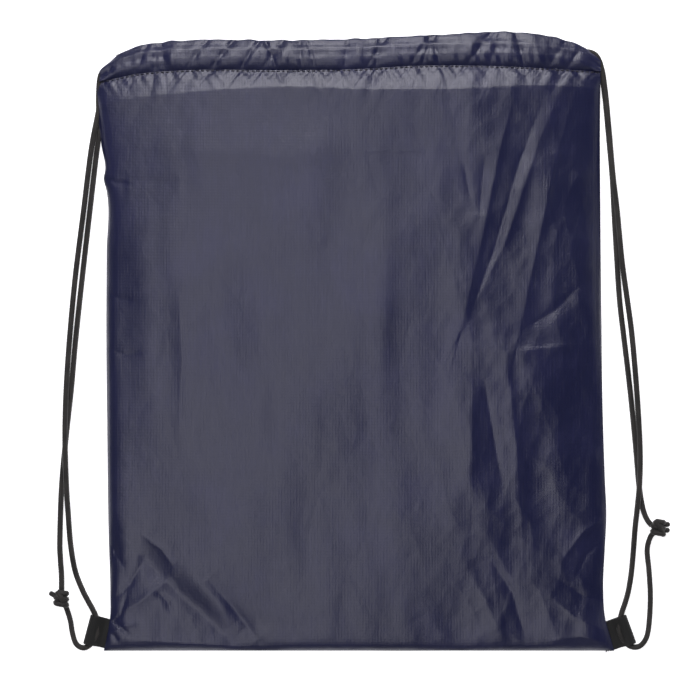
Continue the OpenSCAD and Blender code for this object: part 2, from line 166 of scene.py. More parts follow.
# Creases of the front panel: height, width on the left side, width on the right side, points.
# A positive height is a ridge and a negative one a valley.
CREASES = [
    (1.3, 5, 14, [(138, 178), (119, 131), (99, 70), (69, 9)]),
    (1.5, 4, 14, [(106, 176), (93, 124), (82, 67), (68, 9)]),
    (1.5, 5, 12, [(146, 172), (131, 118), (118, 56), (106, 0)]),
    (-1.2, 4, 6, [(128, 176), (108, 122), (92, 66), (72, 12)]),
    (-1.1, 4, 5, [(84, 124), (81, 84)]),
    (-0.9, 4, 4, [(70, 122), (75, 96)]),
    (1.3, 6, 10, [(76, -18), (76, -60), (75, -108)]),
    (-1.1, 4, 6, [(84, -26), (90, -60), (96, -94)]),
    (1.3, 5, 9, [(99, -10), (106, -70), (111, -138)]),
    (1.1, 4, 8, [(103, -6), (124, -4), (146, -1)]),
    (-1.0, 5, 5, [(112, 10), (132, 22), (150, 40)]),
    (1.7, 26, 11, [(-177, 140), (-155, 136), (-120, 131), (-60, 127), (0, 128)]),
    (-0.7, 7, 9, [(-176, 118), (-150, 110), (-120, 108)]),
    (-1.4, 3, 4, [(-175, 113), (-166, 109), (-156, 108)]),
    (-0.6, 3, 4, [(-173, 35), (-163, 30), (-152, 28)]),
    (-0.7, 3, 4, [(-173, -3), (-160, -8), (-146, -6)]),
    (0.5, 2.5, 4, [(-122, 32), (-120, -10), (-122, -60)]),
    (-2.8, 11, 9, [(-152, -140), (-122, -170), (-98, -192), (-76, -214)]),
    (-2.0, 8, 7, [(-104, -158), (-88, -178), (-68, -203)]),
    (1.8, 12, 12, [(-126, -146), (-100, -172), (-76, -196)]),
    (1.5, 7, 7, [(-171, -188), (-150, -176), (-126, -158)]),
    (-1.3, 5, 6, [(-171, -178), (-156, -164), (-146, -146)]),
    (1.1, 3, 4, [(-173, -200), (-160, -192), (-150, -190)]),
    (-1.1, 3, 3, [(-173, -196), (-162, -184), (-158, -170)]),
    (-1.3, 2.4, 2.4, [(-170, -187), (-162, -193), (-156, -199)]),
    (-1.3, 2, 2, [(-171, -195), (-167, -199), (-164, -203)]),
    (1.1, 3, 6, [(-163, -201), (-128, -203), (-84, -206)]),
    (-0.9, 2.2, 3, [(-174, -132), (-166, -142), (-160, -153)]),
    (0.8, 2.2, 3, [(-148, -130), (-134, -140), (-126, -152)]),
    (-0.8, 2.2, 3, [(-138, -168), (-130, -176), (-128, -184)]),
    (-1.0, 4, 4, [(-171, -160), (-166, -140), (-166, -118)]),
    (1.4, 8, 8, [(72, -152), (86, -176), (98, -206)]),
    (-1.3, 6, 7, [(88, -146), (104, -170), (112, -200)]),
    (1.3, 6, 6, [(130, -172), (146, -186), (168, -196)]),
    (-1.2, 5, 5, [(134, -160), (152, -172), (166, -176)]),
    (1.2, 4, 5, [(166, -119), (152, -128), (138, -146)]),
    (-1.0, 4, 5, [(167, -132), (154, -144), (146, -160)]),
    (1.1, 3, 4, [(170, -204), (150, -199), (128, -202)]),
    (1.0, 12, 16, [(20, 178), (14, 120), (18, 40), (10, -60)]),
    (-0.9, 14, 14, [(-70, 176), (-74, 90), (-66, 0), (-72, -90)]),
]


def smooth_curve(points):
    """Function that runs smoothly through (position, value) points."""
    p = np.array(points, float)
    x, y = p[:, 0], p[:, 1]
    slope = np.gradient(y, x)

    def at(v):
        v = np.clip(v, x[0], x[-1])
        i = np.clip(np.searchsorted(x, v) - 1, 0, len(x) - 2)
        h = x[i + 1] - x[i]
        t = (v - x[i]) / h
        a = (1 + 2 * t) * (1 - t) ** 2 * y[i] + t * (1 - t) ** 2 * h * slope[i]
        return a + t**2 * (3 - 2 * t) * y[i + 1] + t**2 * (t - 1) * h * slope[i + 1]

    return at


left_side = smooth_curve(LEFT_SIDE)
right_side = smooth_curve(RIGHT_SIDE)
stitch_line = smooth_curve(STITCH_LINE)
hem_top = smooth_curve(HEM_TOP)


def waves(count, seed, across, along):
    """Sum of random sine waves over the plane, with wavelengths in the two given ranges."""
    rng = np.random.default_rng(SEED + seed)
    turn = 2 * np.pi
    rows = [(turn * rng.choice([-1, 1]) / rng.uniform(*across), turn / rng.uniform(*along),
             rng.uniform(0, turn), rng.uniform(0.5, 1)) for _ in range(count)]

    def at(x, y):
        return sum(a * np.sin(kx * x + ky * y + p) for kx, ky, p, a in rows) / math.sqrt(count)

    return at


broad = waves(count=10, seed=1, across=(70, 160), along=(90, 260))
streaks = waves(count=14, seed=2, across=(18, 46), along=(200, 600))
puckers = waves(count=12, seed=3, across=(5, 15), along=(30, 90))
gathers = waves(count=10, seed=4, across=(9, 26), along=(60, 200))
back_waves = waves(count=12, seed=5, across=(60, 170), along=(70, 200))


def crease(x, y, height, near, far, points):
    """Height of one crease: a rounded ridge or valley along a line, with its own width on each side."""
    best = np.full(np.shape(x), np.inf)
    out = np.zeros(np.shape(x))
    least_rounding = 0.4
    legs = [math.dist(a, b) for a, b in zip(points, points[1:])]
    total = sum(legs)
    done = 0.0
    for (ax, ay), (bx, by), leg in zip(points, points[1:], legs):
        dx, dy = (bx - ax) / leg, (by - ay) / leg
        t = np.clip((x - ax) * dx + (y - ay) * dy, 0, leg)
        off_x, off_y = x - ax - t * dx, y - ay - t * dy
        d = np.hypot(off_x, off_y)
        side = dx * off_y - dy * off_x
        width = np.where(side > 0, near, far)
        taper = np.sin(np.pi * np.clip((done + t) / total, 0.04, 0.96)) ** 0.6
        soft = np.maximum(least_rounding, 0.9 * (width - 6))
        value = height * taper * np.exp((soft - np.hypot(d, soft)) / (0.8 * width))
        out = np.where(d < best, value, out)
        best = np.minimum(d, best)
        done += leg
    return out


def facets(seed, cell, stretch, lean):
    """Crumpled cloth: straight sharp creases between soft facets, which are the cells round random points.
    The cells are stretched along Y and lean over."""
    rng = np.random.default_rng(SEED + seed)
    cells = 64
    table = rng.uniform((0.1, 0.1, 0.75), (0.9, 0.9, 1.25), (cells, cells, 3))

    def at(x, y):
        u, v = (x - lean * y) / cell, y / (cell * stretch)
        i, j = np.floor(u).astype(int), np.floor(v).astype(int)
        nearest = np.full(np.shape(u), np.inf)
        for di in (-1, 0, 1):
            for dj in (-1, 0, 1):
                a, b = i + di, j + dj
                px, py, tall = np.moveaxis(table[a % cells, b % cells], -1, 0)
                d = np.sqrt((u - a - px) ** 2 + (v - b - py) ** 2 + 0.02) * tall
                nearest = np.minimum(nearest, d)
        return nearest - 0.5

    return at


big_facets = facets(seed=11, cell=58, stretch=2.1, lean=-0.22)
small_facets = facets(seed=12, cell=24, stretch=1.7, lean=-0.15)
tiny_facets = facets(seed=13, cell=11, stretch=1.5, lean=0.2)


def crumpled(x, y):
    """How crumpled the front is, from nearly 0 in its smooth middle to 1 on the right and in the lower right
    corner. It is a little crumpled along the foot, at the mouth and on the left."""
    right = 1 / (1 + np.exp(-(x - 62) / 16))
    foot = np.exp(-np.maximum(y - BOTTOM_Y, 0) / 45) * (0.3 + 0.7 / (1 + np.exp((x + 60) / 18)))
    mouth = np.exp(-np.maximum(stitch_line(x) - y, 0) / 24) * 0.2
    left = 0.3 * np.exp(-np.maximum(x - left_side(y), 0) / 28)
    return np.clip(right + foot + mouth + left, 0.03, 1)


def arch(x):
    """From 0 at the side seams to 1 over the middle."""
    share = (x - HEM_LEFT) / (HEM_RIGHT - HEM_LEFT)
    return 1 - np.abs(np.clip(2 * share - 1, -1, 1)) ** 4


def front_hem_z(x):
    """Height of the middle of the front hem."""
    return FRONT_HEM_END_Z + FRONT_HEM_RISE * arch(x)


def mouth_folds(x, depth, seed):
    """Narrow sharp folds across the mouth, at random places and slants. depth is the distance from the
    stitch line, positive up into the hem and negative down into the panel."""
    rng = np.random.default_rng(SEED + seed)
    count = 24
    margin = 6
    places = np.linspace(HEM_LEFT + margin, HEM_RIGHT - margin, count) + rng.uniform(-5, 5, count)
    slants = rng.uniform(-0.5, 0.8, count)
    heights = rng.uniform(0.5, 2.3, count)
    widths = rng.uniform(1.0, 2.6, count)
    rows = zip(places, slants, heights, widths)
    return -sum(h * np.exp(-np.abs(x - p - s * depth) / w) for p, s, h, w in rows)


def over_tabs(x, y):
    """Rise of the cloth at the two bottom corners, where it lies on the webbing tabs."""
    rise = 2.3
    tab_y = -196
    from_side = np.maximum(np.minimum(x - left_side(y), right_side(y) - x), 0)
    return rise * np.exp(-(((y - tab_y) / 12) ** 2) - from_side / 14)


def panel_edges(x, y):
    """From 0 at the sides and the bottom fold to 1 inside them."""
    from_left = np.maximum(x - left_side(y), 0)
    from_right = np.maximum(right_side(y) - x, 0)
    from_bottom = np.maximum(y - BOTTOM_Y, 0)
    at_left = 1 - np.exp(-from_left / LEFT_ROLL)
    at_right = 1 - np.exp(-from_right / RIGHT_ROLL)
    return at_left * at_right * (1 - np.exp(-from_bottom / FOLD_ROLL))


def panel_body(x, y):
    """Height of the panel inside its edges: its broad rise, the creases and the crumpled cloth."""
    along = np.clip(np.maximum(y - BOTTOM_Y, 0) / PANEL_RISE_RUN, 0, 1)
    body = SIDE_RISE + MIDDLE_RISE * arch(x) * (1 - (1 - along) ** 3)
    detail = sum(crease(x, y, *c) for c in CREASES) + 0.7 * broad(x, y) + 0.16 * streaks(x, y)
    crush = 3.4 * big_facets(x, y) + 1.5 * small_facets(x, y) + 0.5 * tiny_facets(x, y)
    detail = detail + crumpled(x, y) * crush
    return body + detail


def mouth_ruffle(x, y, below):
    """Gathers that the stitches draw into the panel, fading with the distance below them."""
    pleat_pitch = 4.6
    ruffle = np.exp(-below / 4) * puckers(x + 0.6 * y, y)
    small = tiny_facets(x + 0.9 * y, y) + 0.6 * gathers(x - 0.5 * y, y)
    ruffle = ruffle + np.exp(-below / 8) * small
    ruffle = ruffle + 0.8 * np.exp(-below / 6) * mouth_folds(x, -below, 21)
    slant = np.sin(2 * np.pi * (x + below) / pleat_pitch + 1.5 * puckers(x, 0))
    return ruffle + 0.55 * np.exp(-below / 2.2) * slant


def front_z(x, y):
    """Height of the front panel's outer face."""
    below = np.maximum(stitch_line(x) - y, 0)
    edges = panel_edges(x, y)
    z = EDGE_Z + over_tabs(x, y) + edges * panel_body(x, y)
    crest = 14 + 2.5 * np.sin(x / 31)
    beyond = np.exp((crest - below) / MOUTH_ROLL_TAIL)
    roll = MOUTH_ROLL_HEIGHT * np.where(below < crest, below / crest, beyond)
    near_mouth = np.exp(-below / 30)
    z = z * (1 - near_mouth) + (front_hem_z(x) + MOUTH_RISE) * near_mouth
    z = z + edges * (roll + mouth_ruffle(x, y, below))
    pinch = np.exp(-below / 3.2)
    return z * (1 - pinch) + front_hem_z(x) * pinch


def skin(name, grid, thickness, closed=False, flip=False):
    """Closed mesh object from a grid of points in millimetres: the outer face, and an inner one the cloth's
    thickness behind it. A closed grid's last column joins its first."""
    rows, columns = grid.shape[:2]
    if closed:
        d_col = np.roll(grid, -1, 1) - np.roll(grid, 1, 1)
    else:
        d_col = np.gradient(grid, axis=1)
    normal = np.cross(d_col, np.gradient(grid, axis=0))
    normal /= np.maximum(np.linalg.norm(normal, axis=2, keepdims=True), 1e-9)
    if flip:
        normal = -normal
    inner = grid - thickness * normal
    n = rows * columns
    index = np.arange(n).reshape(rows, columns)
    if closed:
        index = np.concatenate([index, index[:, :1]], 1)
    a, b = index[:-1, :-1].ravel(), index[:-1, 1:].ravel()
    c, d = index[1:, 1:].ravel(), index[1:, :-1].ravel()
    faces = [np.stack([a, b, c, d], 1), np.stack([d, c, b, a], 1) + n]
    borders = [index[0], index[-1][::-1]]
    if not closed:
        borders += [index[:, -1], index[::-1, 0]]
    walls = [np.stack([e[1:], e[:-1], e[:-1] + n, e[1:] + n], 1) for e in borders]
    all_faces = np.concatenate(faces + walls)
    if flip:
        all_faces = all_faces[:, ::-1]
    me = bpy.data.meshes.new(name)
    me.from_pydata((np.concatenate([grid.reshape(-1, 3), inner.reshape(-1, 3)]) * MM).tolist(), [],
                   all_faces.tolist())
    smooth = np.ones(len(all_faces), bool)
    smooth[len(faces[0]) * 2:] = False
    me.polygons.foreach_set("use_smooth", smooth)
    sharp_edges(me, len(faces[0]) * 2)
    me.update()
    return link(name, me)


def sharp_edges(me, first_wall):
    """Marks the edges round every wall face sharp, so that the walls don't shade the faces beside them."""
    keys = set()
    for poly in me.polygons[first_wall:]:
        keys.update(poly.edge_keys)
    lookup = {tuple(sorted(e.vertices)): e for e in me.edges}
    for key in keys:
        lookup[key].use_edge_sharp = True


def link(name, data):
    """New object for a mesh, a light or a camera, added to the scene."""
    obj = bpy.data.objects.new(name, data)
    bpy.context.scene.collection.objects.link(obj)
    return obj


def finish_piece(obj, body, material, replaced=()):
    """Gives a piece its material and its body, and hides the CAD nodes that it stands for."""
    obj.data.materials.append(material)
    if body:
        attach(obj, body)
    if replaced:
        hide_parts(*replaced)
    return obj


def halves(build, left, right, middle):
    """Builds a piece twice, from the left edge to the middle and from the middle to the right edge, and bakes
    each half's transform into its mesh."""
    spans = (("left", left, middle), ("right", middle, right))
    for side, low, high in spans:
        piece = build(side, low, high)
        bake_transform(piece)


def panel_grid(low, high, height, columns, rows=440):
    """Grid of points over the panel between two shares of its width, from the fold up to the stitch line."""
    across = np.linspace(low, high, columns)[None, :]
    along = np.linspace(0, 1, rows)[:, None]
    guess = HEM_LEFT + across * (HEM_RIGHT - HEM_LEFT)
    y = BOTTOM_Y + along * (stitch_line(guess) - BOTTOM_Y)
    x = left_side(y) + across * (right_side(y) - left_side(y))
    return np.stack([x, y, height(x, y)], 2)


def front_cloth():
    """Front panel, in two halves."""
    middle_share = (PANEL_MIDDLE_X - HEM_LEFT) / (HEM_RIGHT - HEM_LEFT)
    shares = {"left": (0, middle_share), "right": (middle_share, 1)}

    def build(side, low, high):
        grid = panel_grid(*shares[side], front_z, columns=210)
        piece = finish_piece(skin(f"front_panel_{side}_half", grid, CLOTH), None, cloth,
                             ["front_panel"])
        return piece

    halves(build, HEM_LEFT, HEM_RIGHT, PANEL_MIDDLE_X)


def back_z(x, y):
    """Height of the back panel's inner face: flat on the floor, and turned up along its edges."""
    edge = np.minimum(np.minimum(x - left_side(y), right_side(y) - x), y - BOTTOM_Y)
    lift = np.exp(-np.maximum(edge, 0) / 2.2)
    return 0.55 + 0.25 * np.maximum(back_waves(x, y), -0.6) + (EDGE_Z - 0.75) * lift


def back_cloth():
    """Back panel, in one piece."""
    grid = panel_grid(0, 1, back_z, columns=180, rows=200)
    piece = finish_piece(skin("back_panel_cloth", grid, CLOTH), "bag", cloth, ["back_panel"])


def hem_ruffle(x, share, half, seed):
    """Gathers and folds of a hem. share goes from 0 at its stitches to 1 at its top edge."""
    depth = share * half * 2
    ruffle = 0.9 * puckers(x + 0.6 * share * half, seed) * np.exp(-share * 3.5)
    ruffle = ruffle + 0.4 * gathers(x - 0.5 * share * half, 9.0 * seed)
    small = 0.5 * tiny_facets(0.6 * x + 60 * seed, 0.6 * depth)
    ruffle = ruffle + small + 1.8 * small_facets(x + 90 * seed, depth)
    return ruffle + mouth_folds(x, depth, 20 + seed)


def hem_grid(low, high, middle_z, half_height, seed, columns=40):
    """Grid round a hem: pinched at the stitch line, lower towards its top edge, and clear of its two
    cords."""
    point_spacing = 0.9
    steps = int((high - low) / point_spacing)
    x = np.linspace(low, high, steps)[:, None]
    turn = np.linspace(0, 2 * np.pi, columns, endpoint=False)[None, :]
    half = (hem_top(x) - stitch_line(x)) / 2
    share = (1 - np.cos(turn)) / 2
    depth = share * half * 2
    pinch = 1 - np.exp(-depth / 3.4)
    lift = np.sign(np.sin(turn)) * np.abs(np.sin(turn)) ** 0.34
    end = np.minimum(1, 0.35 + np.minimum(x - HEM_LEFT, HEM_RIGHT - x) / 14)
    sloped = np.where(lift > 0, 1.75 - 1.05 * share, 1)
    out = np.abs(lift) * pinch * end * (half_height * sloped + hem_ruffle(x, share, half, seed))
    rounding = 1.3 * np.sin(turn) ** 2
    for cord_y in (-RUN_OFFSET, RUN_OFFSET):
        over_cord = np.sqrt(np.maximum(COVER_R**2 - (depth - half - cord_y) ** 2, 0))
        out = (out + over_cord + np.hypot(out - over_cord, rounding)) / 2
    z = middle_z(x) + np.sign(lift) * out
    y = stitch_line(x) + depth + 0.35 * gathers(x, 3.0 * seed) * share
    return np.stack(np.broadcast_arrays(x, y, z), 2)


def front_hem():
    """Front hem, in two halves."""
    def build(side, low, high):
        grid = hem_grid(low, high, front_hem_z, FRONT_HEM_HALF, seed=1)
        piece = skin(f"front_hem_{side}_half", grid, CLOTH, closed=True, flip=True)
        finish_piece(piece, None, cloth, ["front_hem"])
        return piece

    halves(build, HEM_LEFT, HEM_RIGHT, PANEL_MIDDLE_X)


def back_hem():
    """Back hem, in one piece, kept just clear of the floor and a little behind the front hem."""
    lowest_z = 0.05
    behind_front_hem = 0.8
    grid = hem_grid(HEM_LEFT, HEM_RIGHT, lambda x: BACK_HEM_Z, BACK_HEM_HALF, seed=2)
    grid[:, :, 2] = np.maximum(grid[:, :, 2], lowest_z)
    grid[:, :, 1] -= behind_front_hem
    piece = skin("back_hem_cloth", grid, CLOTH, closed=True, flip=True)
    finish_piece(piece, "bag", cloth, ["back_hem"])


def side_seams():
    """Turned-in seam allowances, inside the bag along each side."""
    top = 176
    inset = 1.2
    width = 7.5
    for side, edge, inward in (("left", left_side, 1), ("right", right_side, -1)):
        y = np.linspace(BOTTOM_Y + 4, top, 260)[:, None]
        across = np.linspace(0, 1, 10)[None, :]
        x = edge(y) + inward * (inset + across * width)
        z = 1.5 + 0.35 * np.sin(across * np.pi) + 0.15 * back_waves(9 * x, 5 * y)
        grid = np.stack(np.broadcast_arrays(x, y, z), 2)
        piece = skin(f"{side}_seam_allowance", grid, SEAM_CLOTH, flip=inward < 0)
        finish_piece(piece, "bag", cloth, [f"{side}_side_seam"])


def resample(points, step, radius=CORD_R):
    """Smooth curve through the points, with a point every step millimetres, kept clear of the floor. Also
    gives its length."""
    floor_gap = 0.05
    fine_steps = 60
    p = np.array(points, float)
    p = np.concatenate([[2 * p[0] - p[1]], p, [2 * p[-1] - p[-2]]])
    fine = []
    for a, b, c, d in zip(p, p[1:], p[2:], p[3:]):
        t = np.linspace(0, 1, fine_steps, endpoint=False)[:, None]
        fine.append(0.5 * (2 * b + (c - a) * t + (2 * a - 5 * b + 4 * c - d) * t**2
                           + (3 * b - a - 3 * c + d) * t**3))
    fine = np.concatenate(fine + [p[-2:-1]])
    run = np.concatenate([[0], np.cumsum(np.linalg.norm(np.diff(fine, axis=0), axis=1))])
    at = np.linspace(0, run[-1], max(3, int(run[-1] / step)))
    path = np.stack([np.interp(at, run, fine[:, k]) for k in range(3)], 1)
    path[:, 2] = np.maximum(path[:, 2], radius + floor_gap)
    return path, run[-1]


def frames(path):
    """Two directions square to the path at each point, carried along it without twisting."""
    along = np.gradient(path, axis=0)
    along /= np.linalg.norm(along, axis=1, keepdims=True)
    side = np.zeros_like(path)
    first = np.cross(along[0], (0, 0, 1))
    if np.linalg.norm(first) < 0.2:
        first = np.cross(along[0], (0, 1, 0))
    side[0] = first / np.linalg.norm(first)
    for i in range(1, len(path)):
        s = side[i - 1] - along[i] * np.dot(side[i - 1], along[i])
        side[i] = s / np.linalg.norm(s)
    return side, np.cross(side, along)


def braided_tube(name, path, radius=CORD_R, sides=32, ends=(1.0, 1.0), relief=0.28):
    """Tube with the raised plaits of a braid: two families of strands that cross as they wind round it.
    ends gives how far each end is drawn in."""
    side, up = frames(path)
    step = np.linalg.norm(path[1] - path[0])
    s = (np.arange(len(path)) * step)[:, None]
    a = np.linspace(0, 2 * np.pi, sides, endpoint=False)[None, :]
    turn_length = 7.5
    pitch = 2 * np.pi / turn_length
    plait = np.cos(4 * a + pitch * 4 * s) * np.cos(4 * a - pitch * 4 * s)
    r = radius - relief + relief * plait
    taper = np.ones((len(path), 1))
    for k, (end, drawn) in enumerate(((0, ends[0]), (-1, ends[1]))):
        if drawn < 1:
            distance = s if k == 0 else s[-1] - s
            share = np.clip(distance / (radius * 0.9), 0, 1)
            taper = taper * (drawn + (1 - drawn) * np.sqrt(1 - (1 - share) ** 2))
    r = (r * taper)[:, :, None]
    around = np.cos(a)[:, :, None] * side[:, None] + np.sin(a)[:, :, None] * up[:, None]
    rings = path[:, None, :] + r * around
    n = len(path) * sides
    index = np.arange(n).reshape(len(path), sides)
    index = np.concatenate([index, index[:, :1]], 1)
    quads = np.stack([index[:-1, :-1].ravel(), index[1:, :-1].ravel(), index[1:, 1:].ravel(),
                      index[:-1, 1:].ravel()], 1).tolist()
    quads.append(index[0, :-1].tolist())
    quads.append(index[-1, :-1][::-1].tolist())
    me = bpy.data.meshes.new(name)
    me.from_pydata((rings.reshape(-1, 3) * MM).tolist(), [], quads)
    smooth = np.ones(len(quads), bool)
    smooth[-2:] = False
    me.polygons.foreach_set("use_smooth", smooth)
    me.update()
    return link(name, me)


def free_strand(side, role, route):
    """One free strand of a side's cord."""
    path, length = resample(route, step=0.42)
    piece = braided_tube(f"{side}_{role}_strand_cord", path)
    finish_piece(piece, f"{side}_strap", cord, [f"{side}_{role}_strand"])


def knot_cord(side, centre):
    """Tight overhand knot: wraps of cord packed side by side round the strands, with one drawn slantwise
    over them."""
    turns = 2.35
    length = 9.2
    t = np.linspace(0, 1, 200)
    a = 2 * np.pi * turns * t
    wrap_r = 3.5 + 0.35 * np.sin(3 * a)
    wraps = np.stack([wrap_r * np.cos(a), -length / 2 + length * t, wrap_r * np.sin(a)], 1)
    last, first = wraps[-1], wraps[0]
    over = np.linspace(0, 1, 60)[1:-1, None]
    bow = np.sin(np.pi * over) * np.array([0.6, 0, 4.6])
    path = np.concatenate([wraps, last + (first - last) * over + bow * 0.55])
    path[:, 2] = np.maximum(path[:, 2], -3.8)
    path, _ = resample(path + np.array(centre), step=0.4, radius=KNOT_CORD_R)
    piece = braided_tube(f"{side}_knot_cord", path, radius=KNOT_CORD_R, sides=28)
    finish_piece(piece, f"{side}_strap", cord, [f"{side}_knot"])


def cut_ends(side, ends):
    """Short ends of cord beyond the knot, each sealed to a blunt tip."""
    for number, (start, stop) in enumerate(ends, 1):
        points = [start, (np.array(start) + stop) / 2, stop]
        path, _ = resample(points, step=0.3, radius=1.75)
        piece = braided_tube(f"{side}_cord_end_{number}", path, radius=CUT_END_R, ends=(1, 0.6))
        finish_piece(piece, f"{side}_strap", cord, [f"{side}_cord_ends"])


def held_cord(name, points, replaced, body="bag", step=0.5):
    """Stretch of cord that the bag holds: a run, an exit or a bight."""
    path, _ = resample(points, step)
    return finish_piece(braided_tube(name, path), body, cord, [replaced])


def bight_points(node, outward):
    """Half turn between the two channels, from the back one up into the front one, inside the node's box."""
    low, high = (np.array(p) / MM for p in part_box(node))
    y = (low[1] + high[1]) / 2
    x = (low[0] if outward > 0 else high[0]) - outward * 4
    middle = (low[2] + high[2]) / 2
    r = (high[2] - low[2]) / 2 - CORD_R
    turns = np.linspace(-np.pi / 2, np.pi / 2, 11)
    bow = [(x + outward * r * math.cos(a), y, middle + r * math.sin(a)) for a in turns]
    inside = x - outward * 6
    return [(inside, y, middle - r)] + bow + [(inside, y, middle + r)]


def channel_runs():
    """Cords inside the hems: whole in the back hem, and in two halves in the front one."""
    for side, offset in (("left", -RUN_OFFSET), ("right", RUN_OFFSET)):
        def line(low, high, z):
            xs = np.linspace(low, high, 24)
            narrowed = np.minimum(1, 0.6 + (xs - HEM_LEFT) / 60)
            ys = (hem_top(xs) + stitch_line(xs)) / 2 + offset * narrowed
            return list(zip(xs, ys, z(xs)))

        back_route = line(RUN_LEFT, RUN_RIGHT, lambda xs: np.full(len(xs), BACK_RUN_Z))
        held_cord(f"{side}_back_run_cord", back_route, f"{side}_cord_back_run", step=1.2)

        def build(half, low, high):
            route = line(max(low, RUN_LEFT), min(high, RUN_RIGHT), front_hem_z)
            return held_cord(f"{side}_front_run_cord_{half}", route, f"{side}_cord_front_run", body=None,
                             step=1.2)

        halves(build, HEM_LEFT, HEM_RIGHT, PANEL_MIDDLE_X)


def stitches(name, places, body, node):
    """Row of stitches as one mesh: each a short rounded bar of thread, given as (point, heading) pairs."""
    verts, faces = [], []
    sides, rings = 6, 5
    for point, heading in places:
        d = np.array(heading, float)
        d /= np.linalg.norm(d)
        side = np.cross(d, (0, 0, 1))
        side /= np.linalg.norm(side)
        up = np.cross(side, d)
        first = len(verts)
        for i in range(rings):
            t = i / (rings - 1) - 0.5
            r = STITCH_R * math.sqrt(max(0.05, 1 - (2 * t) ** 4))
            sink = -0.5 * (2 * t) ** 2
            for k in range(sides):
                a = 2 * math.pi * k / sides
                verts.append(np.array(point) + t * STITCH_LENGTH * d + up * (sink + r * math.sin(a))
                             + side * r * math.cos(a))
        for i in range(rings - 1):
            for k in range(sides):
                a, b = first + i * sides + k, first + i * sides + (k + 1) % sides
                faces.append((a, a + sides, b + sides, b))
        faces.append([first + k for k in range(sides)])
        faces.append([first + (rings - 1) * sides + k for k in reversed(range(sides))])
    me = bpy.data.meshes.new(name)
    me.from_pydata((np.array(verts) * MM).tolist(), [], faces)
    me.polygons.foreach_set("use_smooth", np.ones(len(faces), bool))
    me.update()
    return finish_piece(link(name, me), body, thread, [node])


def seam_stitching():
    """Threads along both hems and down both side seams."""
    def build(half, low, high):
        xs = np.arange(low + 2, high - 1, STITCH_PITCH)
        ys = stitch_line(xs) - 0.7
        slope = np.gradient(ys, xs)
        zs = front_z(xs, ys) + 0.45
        places = [((x, y, z), (1, s, 0)) for x, y, z, s in zip(xs, ys, zs, slope)]
        return stitches(f"front_hem_stitches_{half}", places, None, "front_hem_stitching")

    halves(build, HEM_LEFT, HEM_RIGHT, PANEL_MIDDLE_X)
    xs = np.arange(HEM_LEFT + 3, HEM_RIGHT - 2, STITCH_PITCH)
    ys = stitch_line(xs) - 1.6
    places = [((x, y, back_z(x, y) + 0.2), (1, 0, 0)) for x, y in zip(xs, ys)]
    stitches("back_hem_stitches", places, "bag", "back_hem_stitching")
    for side, edge, inward in (("left", left_side, 1), ("right", right_side, -1)):
        ys = np.arange(BOTTOM_Y + 6, 172, STITCH_PITCH)
        places = [((edge(y) + inward * 3.2, y, 2.1), (0, 1, 0)) for y in ys]
        stitches(f"{side}_seam_stitches", places, "bag", f"{side}_side_stitching")


def webbing_tab(side, at, tilt):
    """Ribbed webbing folded round the cord, its two layers closing towards the seam they are sewn into."""
    inward = 1 if side == "left" else -1
    a = math.radians(tilt)
    fold = np.array([-math.sin(a), math.cos(a), 0])
    root = inward * np.array([math.cos(a), math.sin(a), 0])
    r = 3.0
    leg_length = 15
    half_width = 10
    rib_height, rib_pitch, yarn_pitch = 0.10, 1.1, 1.25
    edge_drop, edge_round = 0.22, 0.6
    seam_distance, bend_reach = 8.6, 3
    leg = np.linspace(0, 1, 40)
    lower = [(leg_length - leg_length * t, -r + 0.15) for t in leg[:-1]]
    bend = [(-r * math.sin(t), -r * math.cos(t)) for t in np.linspace(0, np.pi, 22)]
    closing = np.minimum(leg / 0.55, 1)
    ease = closing * closing * (3 - 2 * closing)
    upper = [(leg_length * t, r - (2 * r - 1.3) * e) for t, e in zip(leg[1:], ease[1:])]
    profile = np.array(lower + bend + upper)
    steps = np.concatenate([[0], np.cumsum(np.linalg.norm(np.diff(profile, axis=0), axis=1))])
    s = np.linspace(0, steps[-1], 150)
    profile = np.stack([np.interp(s, steps, profile[:, k]) for k in range(2)], 1)
    tangent = np.gradient(profile, axis=0)
    tangent /= np.linalg.norm(tangent, axis=1, keepdims=True)
    out = np.stack([tangent[:, 1], -tangent[:, 0]], 1)
    w = np.linspace(-half_width, half_width, 110)
    yarns = np.sign(1 + np.sin(w * 2 * np.pi / yarn_pitch))
    rib = rib_height * np.abs(np.sin(s * np.pi / rib_pitch))[:, None] * yarns[None, :]
    edge = -edge_drop * np.clip((np.abs(w) - (half_width - edge_round)) / edge_round, 0, 1)[None, :]
    lift = 0.42 + rib + edge
    uv = profile[:, None, :] - lift[:, :, None] * out[:, None, :]
    grid = (np.array([at[0], at[1], TAB_Z]) + uv[:, :, :1] * root + w[None, :, None] * fold
            + uv[:, :, 1:] * np.array([0, 0, 1.0]))
    piece = skin(f"{side}_tab_webbing", grid, WEBBING, flip=inward > 0)
    finish_piece(piece, None, webbing, [f"{side}_tab"])
    seam = np.array([at[0], at[1], TAB_Z]) + root * seam_distance
    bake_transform(piece)
    return seam, root, fold


def bar_tacks(side, seam, root, fold):
    """Zigzag of thread that holds a tab's ends, inside the seam."""
    spacing = 1.6
    z = 2.4
    slant = 0.7
    places = []
    for row in range(3):
        for k in range(12):
            point = seam + root * (5.5 + row * spacing) + fold * (k * spacing - 8.8)
            point[2] = z
            places.append((point, root + fold * (slant if k % 2 else -slant)))
    stitches(f"{side}_tab_bar_tacks", places, "bag", f"{side}_tab_stitching")


